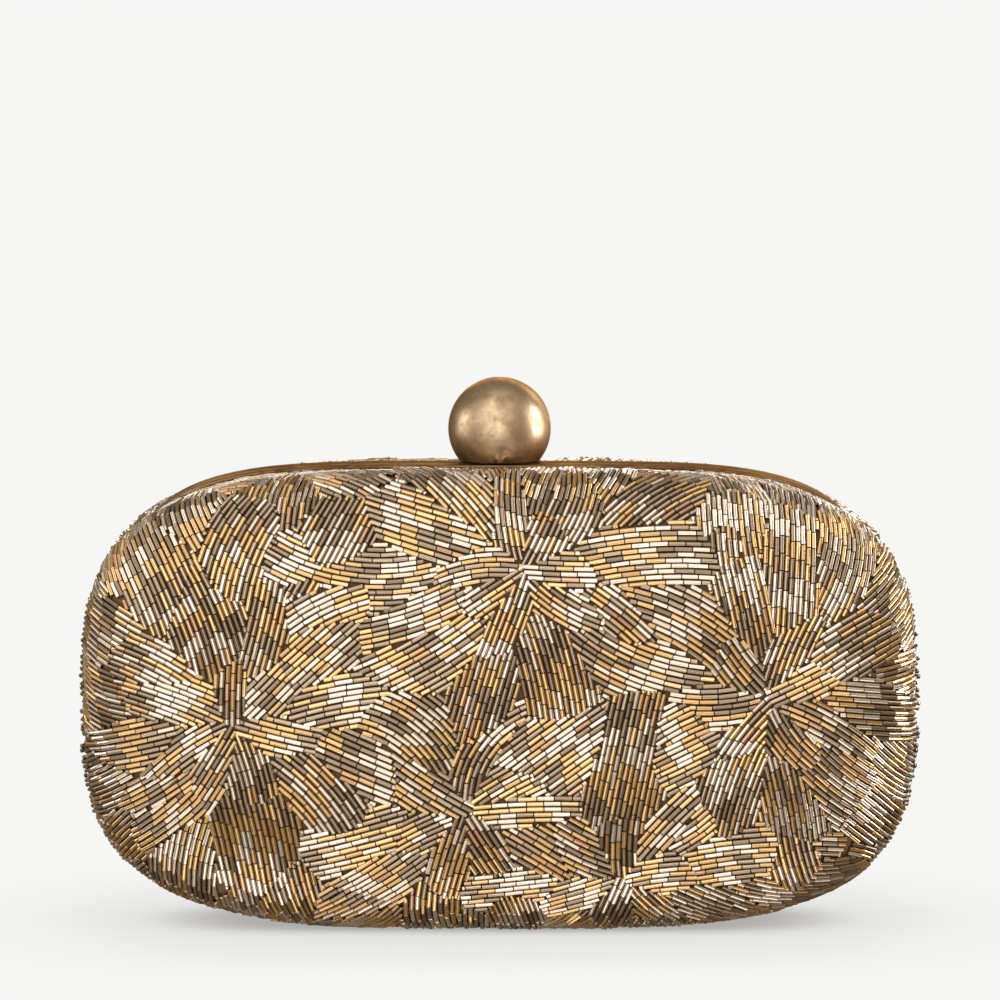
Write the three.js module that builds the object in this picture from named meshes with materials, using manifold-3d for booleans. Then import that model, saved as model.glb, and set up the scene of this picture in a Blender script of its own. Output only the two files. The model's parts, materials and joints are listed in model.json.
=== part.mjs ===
// Evening bag: a hard box clutch. Two domed halves, each a moulded shell with a beaded cloth cover outside and
// a satin lining inside, sit in brass channel frames that are hinged at the bottom. A brass ball on top slides
// sideways and takes the latch hook with it. Millimetres, +Z up, front towards -Y, origin under the middle.
//
// Each half is modelled at +Y, from the parting plane outwards. The front half is the same thing mirrored.

import * as THREE from "three";
import { mergeVertices } from "three/addons/utils/BufferGeometryUtils.js";
import Module from "manifold-3d";

// ---------------------------------------------------------------- driving dimensions
const BAG_WIDTH = 180;
const BODY_HEIGHT = 100; // the beaded body, without the ball
const BAG_DEPTH = 50;
const FRAME_WIDTH = 163; // the frame is narrower than the domes, which hide it at the sides
const FRAME_BOTTOM = 3.1; // the frame's lowest face, above what the bag stands on
const FRAME_DEPTH = 5.5; // of each half's channel
const BALL_RADIUS = 11.15;
const BALL_CENTRE = 107.3; // height
const CLASP_Y = 3; // the stem runs down the middle of the back channel
const CLASP_TRAVEL = 4;

// ---------------------------------------------------------------- outlines and layers
const TURNS = 40; // points round every outline
const CORNER_CROWDING = 0.45; // how much closer together they are at the corners
const MID_Z = BODY_HEIGHT / 2;
const FRAME_POWER = 4.6; // squareness of the frame's outline
const DOME_TOP_POWER = 3.45; // the domes are rounder
const DOME_BOTTOM_POWER = 3.4;
const CENTRE_POWER = 2.4; // squareness that the outlines tend to at the middle of the face
const FOOT_CUT = 0.4; // the domes run this far past the ground before they are cut flat

const PARTING_GAP = 0.15; // from the parting plane to each frame
const WALL = 0.8; // frame sheet
const WEB = 1;
const CHANNEL = 4.35; // room between the lips
const RIM_GAP = 0.25; // from a lip to the layers that it grips
const BULGE_START = 5.6; // depth where the domes come out past the frame's lip
const BULGE_END = 10.5; // depth of the widest outline
const DOME_POWER = 4.5; // how late the face curves down to its edge

const COVER = [0, 1.6]; // each layer's two faces, as depth below the beads' surface
const SHELL = [1.8, 3.2];
const LINING = [3.4, 3.9];

const mix = (from, to, share) => from + (to - from) * share;

function smooth(from, to, value) {
  const share = Math.min(1, Math.max(0, (value - from) / (to - from)));
  return share * share * (3 - 2 * share);
}

// A point of a squared-off oval: ring holds its half sizes, its powers and its depth y.
function outlinePoint(ring, turn) {
  const c = Math.cos(turn);
  const s = Math.sin(turn);
  const power = s >= 0 ? ring.topPower : ring.bottomPower;
  const height = s >= 0 ? ring.top : ring.bottom;
  const reach = (Math.abs(c) ** power + Math.abs(s) ** power) ** (-1 / power);
  return [ring.side * reach * c, ring.y, MID_Z + height * reach * s];
}

// Turns of the points round an outline, set closer together at the four corners.
function outlineTurns() {
  return Array.from({ length: TURNS }, (_, i) => {
    const even = (2 * Math.PI * i) / TURNS;
    return even + (CORNER_CROWDING / 4) * Math.sin(4 * even);
  });
}

function frameRing(inset, y) {
  return {
    side: FRAME_WIDTH / 2 - inset,
    top: MID_Z - inset,
    bottom: MID_Z - FRAME_BOTTOM - inset,
    topPower: FRAME_POWER,
    bottomPower: FRAME_POWER,
    y,
  };
}

// The layer's outline at a depth between the frame's channel and the widest place.
function sideRing(layer, y) {
  const rim = frameRing(WALL + RIM_GAP + layer, y);
  const out = smooth(BULGE_START, BULGE_END, y);
  return {
    side: mix(rim.side, BAG_WIDTH / 2 - layer, out),
    top: mix(rim.top, MID_Z - layer, out),
    bottom: mix(rim.bottom, MID_Z + FOOT_CUT - layer, out),
    topPower: mix(FRAME_POWER, DOME_TOP_POWER, out),
    bottomPower: mix(FRAME_POWER, DOME_BOTTOM_POWER, out),
    y,
  };
}

// The layer's outline on the face: share runs from 0 at the widest place to 1 on the middle line.
function faceRing(layer, share) {
  const widest = sideRing(layer, BULGE_END);
  const inwards = 1 - share;
  const rise = Math.sqrt(1 - inwards ** DOME_POWER);
  const blend = share ** 1.5;
  return {
    side: widest.side - share * (MID_Z - layer),
    top: widest.top * inwards,
    bottom: widest.bottom * inwards,
    topPower: mix(DOME_TOP_POWER, CENTRE_POWER, blend),
    bottomPower: mix(DOME_BOTTOM_POWER, CENTRE_POWER, blend),
    y: BULGE_END + (BAG_DEPTH / 2 - BULGE_END - layer) * rise,
  };
}

// Rings of one face of a layer, from the middle of the dome to its rim in the channel.
function layerRings(layer) {
  const face = [1, 0.6, 0.32, 0.14, 0.05, 0.012].map((share) =>
    faceRing(layer, share),
  );
  const side = [BULGE_END, 8, BULGE_START, WEB + 0.5].map((y) =>
    sideRing(layer, y),
  );
  return [...face, ...side];
}

// ---------------------------------------------------------------- solids
const wasm = await Module();
wasm.setup();

// A skin through rings of points. A closed one joins its last ring to its first. From the band turnBack on,
// the squares are split the other way, so that both faces of a layer are split alike and stay parallel.
function skin(rings, closed, turnBack = Infinity) {
  const turns = outlineTurns();
  const position = rings.flatMap((ring) =>
    turns.flatMap((turn) => outlinePoint(ring, turn)),
  );
  const index = [];
  const bands = closed ? rings.length : rings.length - 1;
  for (let band = 0; band < bands; band++) {
    const here = band * TURNS;
    const next = ((band + 1) % rings.length) * TURNS;
    for (let i = 0; i < TURNS; i++) {
      const j = (i + 1) % TURNS;
      const [a, b, c, d] = [here + i, here + j, next + j, next + i];
      index.push(...(band < turnBack ? [a, b, c, a, c, d] : [a, b, d, b, c, d]));
    }
  }
  const geometry = new THREE.BufferGeometry();
  geometry.setAttribute(
    "position",
    new THREE.Float32BufferAttribute(position, 3),
  );
  return geometry.setIndex(index);
}

function toSolid(geometry) {
  const bare = geometry.clone();
  bare.deleteAttribute("normal");
  bare.deleteAttribute("uv");
  const merged = mergeVertices(bare, 1e-3);
  return new wasm.Manifold(
    new wasm.Mesh({
      numProp: 3,
      vertProperties: merged.attributes.position.array,
      triVerts: new Uint32Array(merged.index.array),
    }),
  );
}

function toGeometry(solid) {
  const made = solid.getMesh();
  const geometry = new THREE.BufferGeometry();
  geometry.setAttribute(
    "position",
    new THREE.BufferAttribute(new Float32Array(made.vertProperties), 3),
  );
  return geometry.setIndex(
    new THREE.BufferAttribute(new Uint32Array(made.triVerts), 1),
  );
}

function cut(geometry, ...tools) {
  const left = tools.reduce(
    (solid, tool) => solid.subtract(toSolid(tool)),
    toSolid(geometry),
  );
  return toGeometry(left);
}

function join(...geometries) {
  const whole = geometries
    .map(toSolid)
    .reduce((solid, other) => solid.add(other));
  return toGeometry(whole);
}

function block([x0, x1], [y0, y1], [z0, z1]) {
  return new THREE.BoxGeometry(x1 - x0, y1 - y0, z1 - z0).translate(
    (x0 + x1) / 2,
    (y0 + y1) / 2,
    (z0 + z1) / 2,
  );
}

// A rod along x between x0 and x1.
function rodX(radius, [x0, x1], y, z, sides = 12) {
  return new THREE.CylinderGeometry(radius, radius, x1 - x0, sides)
    .rotateZ(Math.PI / 2)
    .translate((x0 + x1) / 2, y, z);
}

// A post along z between z0 and z1.
function postZ(radius, [z0, z1], x, y, sides = 12) {
  return new THREE.CylinderGeometry(radius, radius, z1 - z0, sides)
    .rotateX(Math.PI / 2)
    .translate(x, y, (z0 + z1) / 2);
}

// A turned piece about a vertical axis at x, y: outline holds [radius, height] pairs, from the bottom up.
function turned(outline, x, y, sides) {
  const points = outline.map(([radius, height]) => new THREE.Vector2(radius, height));
  return new THREE.LatheGeometry(points, sides)
    .rotateX(Math.PI / 2)
    .translate(x, y, 0);
}

// ---------------------------------------------------------------- materials
const paint = (color, roughness, metalness) =>
  new THREE.MeshStandardMaterial({ color, roughness, metalness });
const agedBrass = paint(0x8f6c42, 0.38, 1);
const ballBrass = paint(0xb8925c, 0.3, 1);
const steel = paint(0x9a9691, 0.35, 1);
const beadCloth = paint(0xa88450, 0.35, 0.4);
const shellBoard = paint(0x2c2825, 0.7, 0);
const satin = paint(0xb59a74, 0.45, 0);

const bag = new THREE.Group();
const backHalf = new THREE.Group();
const frontHalf = new THREE.Group();
frontHalf.scale.y = -1;
const clasp = new THREE.Group();
bag.add(backHalf, frontHalf, clasp);

function piece(group, name, geometry, material) {
  const mesh = new THREE.Mesh(geometry, material);
  mesh.name = name;
  group.add(mesh);
}

// ---------------------------------------------------------------- the two domed halves
function layerSolid([outer, inner]) {
  const outside = layerRings(outer);
  const inside = layerRings(inner).reverse();
  return skin([...outside, ...inside], false, outside.length);
}

const BELOW_GROUND = block([-100, 100], [-5, 30], [-5, 0]);

function cover() {
  return cut(layerSolid(COVER), BELOW_GROUND);
}

// The channel's section, as [inset from its outline, depth], open away from the parting plane.
function frameChannel() {
  const innerLip = WALL + CHANNEL;
  const section = [
    [innerLip + WALL, FRAME_DEPTH],
    [innerLip, FRAME_DEPTH],
    [innerLip, PARTING_GAP + WEB],
    [WALL, PARTING_GAP + WEB],
    [WALL, FRAME_DEPTH],
    [0, FRAME_DEPTH],
    [0, PARTING_GAP],
    [innerLip + WALL, PARTING_GAP],
  ];
  return skin(
    section.map(([inset, y]) => frameRing(inset, y)),
    true,
  );
}

// ---------------------------------------------------------------- rivets
const RIVET_HOLE = 0.75;
const RIVET_SHANK = 0.55;
const RIVET_HEAD = 1.1;
const HEAD_HEIGHT = 0.4;
const HEAD_GAP = 0.12;

// A rivet pushed up from below: its head is under z0, clear of the sheet, and its shank ends at z1.
function rivet(x, y, z0, z1) {
  const headTop = z0 - HEAD_GAP;
  const outline = [
    [0, headTop - HEAD_HEIGHT],
    [RIVET_HEAD * 0.7, headTop - HEAD_HEIGHT],
    [RIVET_HEAD, headTop],
    [RIVET_SHANK, headTop],
    [RIVET_SHANK, z1],
    [0, z1],
  ];
  return turned(outline, x, y, 10);
}

const rivetHole = (x, y, heights) => postZ(RIVET_HOLE, heights, x, y);

// ---------------------------------------------------------------- hinge
const HINGE_Z = 1.6;
const HINGE_LENGTH = 60;
const KNUCKLES = 5;
const KNUCKLE_GAP = 0.3;
const BARREL_RADIUS = 1.2;
const PIN_BORE = 0.78;
const PIN_RADIUS = 0.6;
const LEAF = [HINGE_Z + 0.6, HINGE_Z + BARREL_RADIUS]; // heights of the leaf's two faces
const LEAF_START = 1.6;
const LEAF_END = 4.9;
const LEAF_RIVET_Y = 3.3;
const LEAF_RIVETS = [-21, 0, 21];
const FRAME_SHEET_BOTTOM = [FRAME_BOTTOM - 0.5, FRAME_BOTTOM + WALL + 0.2];

// The leaf lies under the frame. The back half holds the odd knuckles and the front half the even ones.
function hingeLeaf(first) {
  const pitch = HINGE_LENGTH / KNUCKLES;
  const half = HINGE_LENGTH / 2;
  const solids = [block([-half, half], [LEAF_START, LEAF_END], LEAF)];
  for (let i = first; i < KNUCKLES; i += 2) {
    const span = [
      -half + i * pitch + KNUCKLE_GAP / 2,
      -half + (i + 1) * pitch - KNUCKLE_GAP / 2,
    ];
    solids.push(block(span, [0, LEAF_START + 0.2], LEAF));
    solids.push(rodX(BARREL_RADIUS, span, 0, HINGE_Z));
  }
  const bore = rodX(PIN_BORE, [-half - 1, half + 1], 0, HINGE_Z);
  const holes = LEAF_RIVETS.map((x) => rivetHole(x, LEAF_RIVET_Y, [0, 5]));
  return cut(join(...solids), bore, ...holes);
}

function frameBottomHoles() {
  return LEAF_RIVETS.map((x) => rivetHole(x, LEAF_RIVET_Y, FRAME_SHEET_BOTTOM));
}

// ---------------------------------------------------------------- latch
const STEM_RADIUS = 1.1;
const STEM_BORE = 1.3;
const SLOT_X = [-1.6, CLASP_TRAVEL + 1.6];
const SLOT_Y = [CLASP_Y - 1.45, CLASP_Y + 1.45];
const NOTCH_X = [SLOT_X[0] - 0.6, SLOT_X[1] + 0.6];
const LIP_UNDERSIDE = BODY_HEIGHT - 2 * WALL - CHANNEL;
const FLANGE = [LIP_UNDERSIDE - 0.95, LIP_UNDERSIDE - 0.35];
const PLATE = [LIP_UNDERSIDE - 2.3, LIP_UNDERSIDE - 1.3];
const LIP_HOLE = [FLANGE[0] - 0.3, LIP_UNDERSIDE + WALL + 0.2];
const FLANGE_RIVET = [FLANGE[0], LIP_UNDERSIDE + WALL - 0.2];
const ABOVE_LIP = [LIP_UNDERSIDE - 5, BODY_HEIGHT + 5];

const stemSlot = block(SLOT_X, SLOT_Y, ABOVE_LIP);
const rimNotch = block(NOTCH_X, [0, CLASP_Y + 1.9], ABOVE_LIP);

const BRACKET_X = [-11, 20];
const BRACKET_Y = [1.3, 6.6];
const BRACKET_SHEET = 0.6;
const BRACKET_FLOOR = LIP_UNDERSIDE - 5.1;
const BRACKET_FLANGE = 6;
const BRACKET_RIVETS = [BRACKET_X[0] - 3, BRACKET_X[1] + 3];
const BRACKET_RIVET_Y = 3.9;

// A folded strip: two flanges under the frame's inner lip, two ends and a floor under the sliding plate.
function latchBracket() {
  const [x0, x1] = BRACKET_X;
  const floor = [BRACKET_FLOOR, BRACKET_FLOOR + BRACKET_SHEET];
  const walls = [BRACKET_FLOOR, FLANGE[1]];
  const strip = join(
    block(BRACKET_X, BRACKET_Y, floor),
    block([x0, x0 + BRACKET_SHEET], BRACKET_Y, walls),
    block([x1 - BRACKET_SHEET, x1], BRACKET_Y, walls),
    block([x0 - BRACKET_FLANGE, x0 + BRACKET_SHEET], BRACKET_Y, FLANGE),
    block([x1 - BRACKET_SHEET, x1 + BRACKET_FLANGE], BRACKET_Y, FLANGE),
  );
  return cut(
    strip,
    ...BRACKET_RIVETS.map((x) => rivetHole(x, BRACKET_RIVET_Y, LIP_HOLE)),
  );
}

const PLATE_END = 7.7;
const FINGER_X = [-5, -2];
const HOOK_X = [-7.8, -4.8];
const HOOK_Y = [-4.4, -3.1];

// The sliding plate, with a finger that reaches into the front half and ends in a hook.
function latchPlate() {
  const plate = join(
    block([BRACKET_X[0] + 0.9, PLATE_END], [1.5, 5.3], PLATE),
    block(FINGER_X, [HOOK_Y[0], 1.7], PLATE),
    block(HOOK_X, HOOK_Y, PLATE),
  );
  return cut(plate, postZ(STEM_BORE, ABOVE_LIP, 0, CLASP_Y));
}

const STRIKE_X = [-14, 5.6];
const STRIKE_RIVETS = [-12, 3.9];
const STRIKE_RIVET_Y = 3.4;

// The strike in the front half's own frame: a flange under the lip and a tab that the hook catches behind.
function strikePlate() {
  const plate = join(
    block(STRIKE_X, [1.4, 5.4], FLANGE),
    block([-9.5, -5.6], [1.7, 2.5], [PLATE[0] - 1.1, FLANGE[1]]),
  );
  return cut(
    plate,
    ...STRIKE_RIVETS.map((x) => rivetHole(x, STRIKE_RIVET_Y, LIP_HOLE)),
  );
}

const SPRING_WIRE = 0.22;
const SPRING_RADIUS = 0.95;
const SPRING_TURNS = 7;
const SPRING_X = [PLATE_END + 0.35, BRACKET_X[1] - BRACKET_SHEET - 0.3];

class SpringPath extends THREE.Curve {
  getPoint(share, target = new THREE.Vector3()) {
    const turn = 2 * Math.PI * SPRING_TURNS * share;
    const x = mix(SPRING_X[0], SPRING_X[1], share);
    const middle = (PLATE[0] + PLATE[1]) / 2;
    return target.set(
      x,
      CLASP_Y + SPRING_RADIUS * Math.cos(turn),
      middle + SPRING_RADIUS * Math.sin(turn),
    );
  }
}

function latchSpring() {
  const wire = new THREE.Shape().absarc(0, 0, SPRING_WIRE, 0, 2 * Math.PI);
  return new THREE.ExtrudeGeometry(wire, {
    curveSegments: 2,
    steps: SPRING_TURNS * 10,
    extrudePath: new SpringPath(),
  });
}

// ---------------------------------------------------------------- ball clasp
const BALL_WALL = 1;
const BALL_FLAT = BODY_HEIGHT + 0.35; // height of the flat underside
const BASE_RADIUS = 7;
const BASE_SHEET = 0.9;
const BOSS_RADIUS = 2.6;
const BOSS_TOP = BALL_FLAT + 5;
const NUT = [PLATE[0] - 1.6, PLATE[0] - 0.15];

// Points of an arc of the ball's section, between two slopes measured from straight up.
function ballArc(radius, from, to, steps) {
  return Array.from({ length: steps + 1 }, (_, i) => {
    const slope = mix(from, to, i / steps);
    return [radius * Math.sin(slope), BALL_CENTRE + radius * Math.cos(slope)];
  });
}

// A hollow ball, cut flat and open underneath.
function claspBallSection() {
  const drop = BALL_FLAT - BALL_CENTRE;
  const inner = BALL_RADIUS - BALL_WALL;
  const outerEnd = Math.acos(drop / BALL_RADIUS);
  const innerEnd = Math.acos(drop / inner);
  const outside = ballArc(BALL_RADIUS, outerEnd, 0, 12);
  const inside = ballArc(inner, 0, innerEnd, 8);
  outside[12][0] = 0;
  inside[0][0] = 0;
  return [inside, outside];
}

function claspBall() {
  const [inside, outside] = claspBallSection();
  const wall = [...inside, ...outside];
  return turned(wall, 0, CLASP_Y, 28);
}

function ballBase() {
  const outline = [
    [0, BALL_FLAT],
    [BASE_RADIUS, BALL_FLAT],
    [BASE_RADIUS, BALL_FLAT + BASE_SHEET],
    [BOSS_RADIUS, BALL_FLAT + BASE_SHEET],
    [BOSS_RADIUS, BOSS_TOP],
    [0, BOSS_TOP],
  ];
  return cut(
    turned(outline, 0, CLASP_Y, 24),
    postZ(STEM_BORE, [BALL_FLAT - 1, BOSS_TOP - 0.8], 0, CLASP_Y),
  );
}

// ---------------------------------------------------------------- slip pocket on the back lining
const POCKET_X = 44;
const POCKET_Z = [20, 66];
const POCKET_GAP = 0.25;
const POCKET_CLOTH = 0.5;
const POCKET_COLUMNS = 12;
const POCKET_ROWS = 7;

// Depth of a layer's face at x, z, found by closing in on the ring that passes through that point.
function faceDepth(layer, x, z) {
  let low = 0;
  let high = 1;
  for (let i = 0; i < 30; i++) {
    const share = (low + high) / 2;
    const ring = faceRing(layer, share);
    const turn = Math.atan2((z - MID_Z) / Math.max(ring.top, 1e-9), x / ring.side);
    const [edgeX, , edgeZ] = outlinePoint(ring, turn);
    const inside = Math.hypot(x, z - MID_Z) < Math.hypot(edgeX, edgeZ - MID_Z);
    if (inside) low = share;
    else high = share;
  }
  return faceRing(layer, low).y;
}

// A patch of cloth that follows the lining, open along its top edge.
function pocketPanel() {
  const outerFace = LINING[1] + POCKET_GAP;
  const panel = new THREE.BoxGeometry(
    2 * POCKET_X,
    1,
    POCKET_Z[1] - POCKET_Z[0],
    POCKET_COLUMNS,
    1,
    POCKET_ROWS,
  );
  const point = panel.getAttribute("position");
  for (let i = 0; i < point.count; i++) {
    const x = point.getX(i);
    const z = point.getZ(i) + (POCKET_Z[0] + POCKET_Z[1]) / 2;
    const far = point.getY(i) > 0 ? 0 : POCKET_CLOTH;
    point.setXYZ(i, x, faceDepth(outerFace, x, z) - far, z);
  }
  return panel;
}

// ---------------------------------------------------------------- assembly
const hingeHoles = frameBottomHoles();
const bracketHoles = BRACKET_RIVETS.map((x) =>
  rivetHole(x, BRACKET_RIVET_Y, LIP_HOLE),
);
const strikeHoles = STRIKE_RIVETS.map((x) =>
  rivetHole(x, STRIKE_RIVET_Y, LIP_HOLE),
);

piece(
  backHalf,
  "back_frame",
  cut(frameChannel(), stemSlot, ...hingeHoles, ...bracketHoles),
  agedBrass,
);
piece(backHalf, "back_cover", cut(cover(), rimNotch), beadCloth);
piece(backHalf, "back_shell", cut(layerSolid(SHELL), rimNotch), shellBoard);
piece(backHalf, "back_lining", cut(layerSolid(LINING), rimNotch), satin);
piece(backHalf, "pocket_panel", pocketPanel(), satin);
piece(backHalf, "latch_bracket", latchBracket(), steel);
piece(backHalf, "latch_spring", latchSpring(), steel);
piece(backHalf, "hinge_leaf_back", hingeLeaf(0), agedBrass);
piece(
  backHalf,
  "hinge_pin",
  rodX(PIN_RADIUS, [-HINGE_LENGTH / 2, HINGE_LENGTH / 2], 0, HINGE_Z),
  steel,
);

piece(
  frontHalf,
  "front_frame",
  cut(frameChannel(), ...hingeHoles, ...strikeHoles),
  agedBrass,
);
piece(frontHalf, "front_cover", cover(), beadCloth);
piece(frontHalf, "front_shell", layerSolid(SHELL), shellBoard);
piece(frontHalf, "front_lining", layerSolid(LINING), satin);
piece(frontHalf, "hinge_leaf_front", hingeLeaf(1), agedBrass);
piece(frontHalf, "strike_plate", strikePlate(), steel);

const leafRivet = (x) =>
  rivet(x, LEAF_RIVET_Y, LEAF[0], FRAME_BOTTOM + WALL - 0.2);
LEAF_RIVETS.forEach((x, i) => {
  piece(backHalf, `hinge_rivet_back_${i + 1}`, leafRivet(x), agedBrass);
  piece(frontHalf, `hinge_rivet_front_${i + 1}`, leafRivet(x), agedBrass);
});
BRACKET_RIVETS.forEach((x, i) => {
  const made = rivet(x, BRACKET_RIVET_Y, ...FLANGE_RIVET);
  piece(backHalf, `bracket_rivet_${i + 1}`, made, steel);
});
STRIKE_RIVETS.forEach((x, i) => {
  const made = rivet(x, STRIKE_RIVET_Y, ...FLANGE_RIVET);
  piece(frontHalf, `strike_rivet_${i + 1}`, made, steel);
});

piece(clasp, "clasp_ball", claspBall(), ballBrass);
piece(clasp, "ball_base", ballBase(), ballBrass);
piece(
  clasp,
  "clasp_stem",
  postZ(STEM_RADIUS, [NUT[0] - 0.4, BOSS_TOP - 1.1], 0, CLASP_Y),
  steel,
);
piece(clasp, "latch_plate", latchPlate(), steel);
piece(
  clasp,
  "stem_nut",
  cut(
    postZ(2.3, NUT, 0, CLASP_Y, 6),
    postZ(STEM_BORE, [NUT[0] - 1, NUT[1] + 1], 0, CLASP_Y),
  ),
  steel,
);

export default bag;
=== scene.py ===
import json
import math

import bmesh
import bpy
import numpy as np
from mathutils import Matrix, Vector


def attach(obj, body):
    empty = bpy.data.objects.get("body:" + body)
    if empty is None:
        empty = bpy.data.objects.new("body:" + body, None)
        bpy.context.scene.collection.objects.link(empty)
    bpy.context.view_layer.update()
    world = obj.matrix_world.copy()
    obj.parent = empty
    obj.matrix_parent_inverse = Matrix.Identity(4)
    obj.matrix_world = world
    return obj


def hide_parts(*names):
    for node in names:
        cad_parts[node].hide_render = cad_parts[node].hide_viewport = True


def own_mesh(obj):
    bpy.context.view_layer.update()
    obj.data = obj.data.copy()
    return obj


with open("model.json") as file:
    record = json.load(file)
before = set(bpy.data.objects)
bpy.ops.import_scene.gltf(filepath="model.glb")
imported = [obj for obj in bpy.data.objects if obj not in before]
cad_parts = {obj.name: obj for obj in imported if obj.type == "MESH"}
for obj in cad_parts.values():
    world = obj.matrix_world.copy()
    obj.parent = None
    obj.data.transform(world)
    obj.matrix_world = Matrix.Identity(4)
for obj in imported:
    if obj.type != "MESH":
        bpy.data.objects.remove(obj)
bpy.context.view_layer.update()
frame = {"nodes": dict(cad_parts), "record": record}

# %% [markdown]
# ## Light, camera and ground
# Metal and glass show what surrounds them, so the light is as much a part of a bead as its colour. A large
# soft box in front of the bag puts a bright stripe down every bead, whichever way it lies, and the dim room
# around it gives each bead its darker edges. The other boxes do the same for the sides, the top, the
# underside and the back. The ground is a clear sheet that only shows the soft shadow where the bag touches
# it.
# %% Camera
MM = 0.001


def new_object(name, data):
    made = bpy.data.objects.new(name, data)
    bpy.context.scene.collection.objects.link(made)
    return made


CAMERA_RISE = math.radians(6)  # it looks slightly down, so that the frame shows over the front half
CAMERA_DISTANCE = 1.25
VIEW_WIDTH = 0.2169  # what the picture spans at the bag
VIEW_MIDDLE = Vector((0.0001, 0, 0.0919))


def make_camera():
    data = bpy.data.cameras.new("camera")
    data.sensor_width = 36
    data.lens = data.sensor_width * CAMERA_DISTANCE / VIEW_WIDTH
    data.clip_start, data.clip_end = 0.05, 50
    camera = new_object("camera", data)
    back = Vector((0, -math.cos(CAMERA_RISE), math.sin(CAMERA_RISE)))
    camera.location = VIEW_MIDDLE + back * CAMERA_DISTANCE
    camera.rotation_euler = (-back).to_track_quat("-Z", "Y").to_euler()
    bpy.context.scene.camera = camera
    return camera


camera = make_camera()
print("camera lens", round(camera.data.lens), "mm")

# %% Soft boxes
AIM = Vector((0, 0, 0.05))


def soft_box(name, place, size, power):
    data = bpy.data.lights.new(name, "AREA")
    data.shape = "RECTANGLE"
    data.size, data.size_y = size
    data.energy = power
    light = new_object(name, data)
    light.visible_camera = False
    light.location = place
    light.rotation_euler = (AIM - Vector(place)).to_track_quat("-Z", "Y").to_euler()


soft_box("front_box", (-0.3, -1.25, 0.5), (2.3, 1.8), 13.2)
soft_box("key_box", (-0.22, -1.3, 0.25), (0.55, 0.55), 1.8)
soft_box("right_box", (1.15, 0.1, 0.3), (0.5, 0.9), 11)
soft_box("left_box", (-1.25, 0.0, 0.25), (0.6, 0.9), 3.5)
soft_box("top_box", (0.0, -0.4, 1.3), (1.2, 0.7), 3)
soft_box("low_box", (0.0, -0.8, -0.9), (1.7, 0.8), 7)
soft_box("back_box", (0.3, 1.25, 0.45), (1.5, 1.1), 9)

# %% Nodes, made with one short call each
def fill(tree, sockets, values):
    """Sets each named socket, or links it if its value is a socket too. Colours come without their alpha."""
    for key, value in values.items():
        if isinstance(value, bpy.types.NodeSocket):
            tree.links.new(value, sockets[key])
        else:
            sockets[key].default_value = (*value, 1) if sockets[key].type == "RGBA" else value


def node(tree, kind, inputs=None, **settings):
    made = tree.nodes.new(kind)
    for key, value in settings.items():
        setattr(made, key, value)
    fill(tree, made.inputs, inputs or {})
    return made


def ramp(tree, value, stops):
    """A smooth colour ramp over value, from a list of (position, colour)."""
    made = node(tree, "ShaderNodeValToRGB", {"Fac": value})
    made.color_ramp.interpolation = "EASE"
    elements = made.color_ramp.elements
    while len(elements) < len(stops):
        elements.new(0.5)
    for element, (position, colour) in zip(elements, stops):
        element.position = position
        element.color = (*colour, 1)
    return made.outputs["Color"]


def mixed(tree, share, first, second):
    """The first colour, with a share of the second mixed in. The colour sockets are numbers 6 and 7."""
    return node(tree, "ShaderNodeMix", {0: share, 6: first, 7: second}, data_type="RGBA").outputs[2]


def maths(tree, operation, *values, clamp=False):
    inputs = dict(enumerate(values))
    return node(tree, "ShaderNodeMath", inputs, operation=operation, use_clamp=clamp).outputs[0]


def spread(tree, value, low, high, to_low=0.0, to_high=1.0):
    """value moved from the range low..high to the range to_low..to_high."""
    inputs = {"Value": value, "From Min": low, "From Max": high, "To Min": to_low, "To Max": to_high}
    return node(tree, "ShaderNodeMapRange", inputs).outputs["Result"]


# %% The surroundings: pale to the eye, a studio to the metal
BACKDROP = (0.93, 0.925, 0.915)
TO_MAIN_LIGHT = (-0.4, -0.5, 0.75)
ROOM_LEVELS = [(0.0, (0.14, 0.11, 0.08)), (0.5, (0.19, 0.16, 0.125)), (1.0, (0.5, 0.48, 0.45))]


def by_sight(tree, reflected, seen):
    """One colour for what is seen straight, another for everything else."""
    return mixed(tree, node(tree, "ShaderNodeLightPath").outputs["Is Camera Ray"], reflected, seen)


def make_world():
    """Seen straight, an even pale wall. In reflections, a dim room, lighter towards the main light."""
    world = bpy.data.worlds.new("studio")
    world.use_nodes = True
    tree = world.node_tree
    tree.nodes.clear()
    place = node(tree, "ShaderNodeTexCoord").outputs["Generated"]
    inputs = {0: place, 1: TO_MAIN_LIGHT}
    towards = node(tree, "ShaderNodeVectorMath", inputs, operation="DOT_PRODUCT").outputs["Value"]
    room = ramp(tree, spread(tree, towards, -1, 1), ROOM_LEVELS)
    colour = by_sight(tree, room, BACKDROP)
    background = node(tree, "ShaderNodeBackground", {"Color": colour, "Strength": 1.0})
    output = node(tree, "ShaderNodeOutputWorld")
    tree.links.new(background.outputs[0], output.inputs[0])
    bpy.context.scene.world = world


make_world()
bpy.context.scene.view_settings.view_transform = "Standard"
bpy.context.scene.view_settings.look = "None"
print("world:", bpy.context.scene.world.name)

# %% The ground
GROUND_REACH, SHADOW_REACH = 6, 0.06
SHADOW_LEVELS = [(0.0, (0.45, 0.44, 0.43)), (0.55, (0.86, 0.857, 0.85)), (1.0, (1, 1, 1))]


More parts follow.
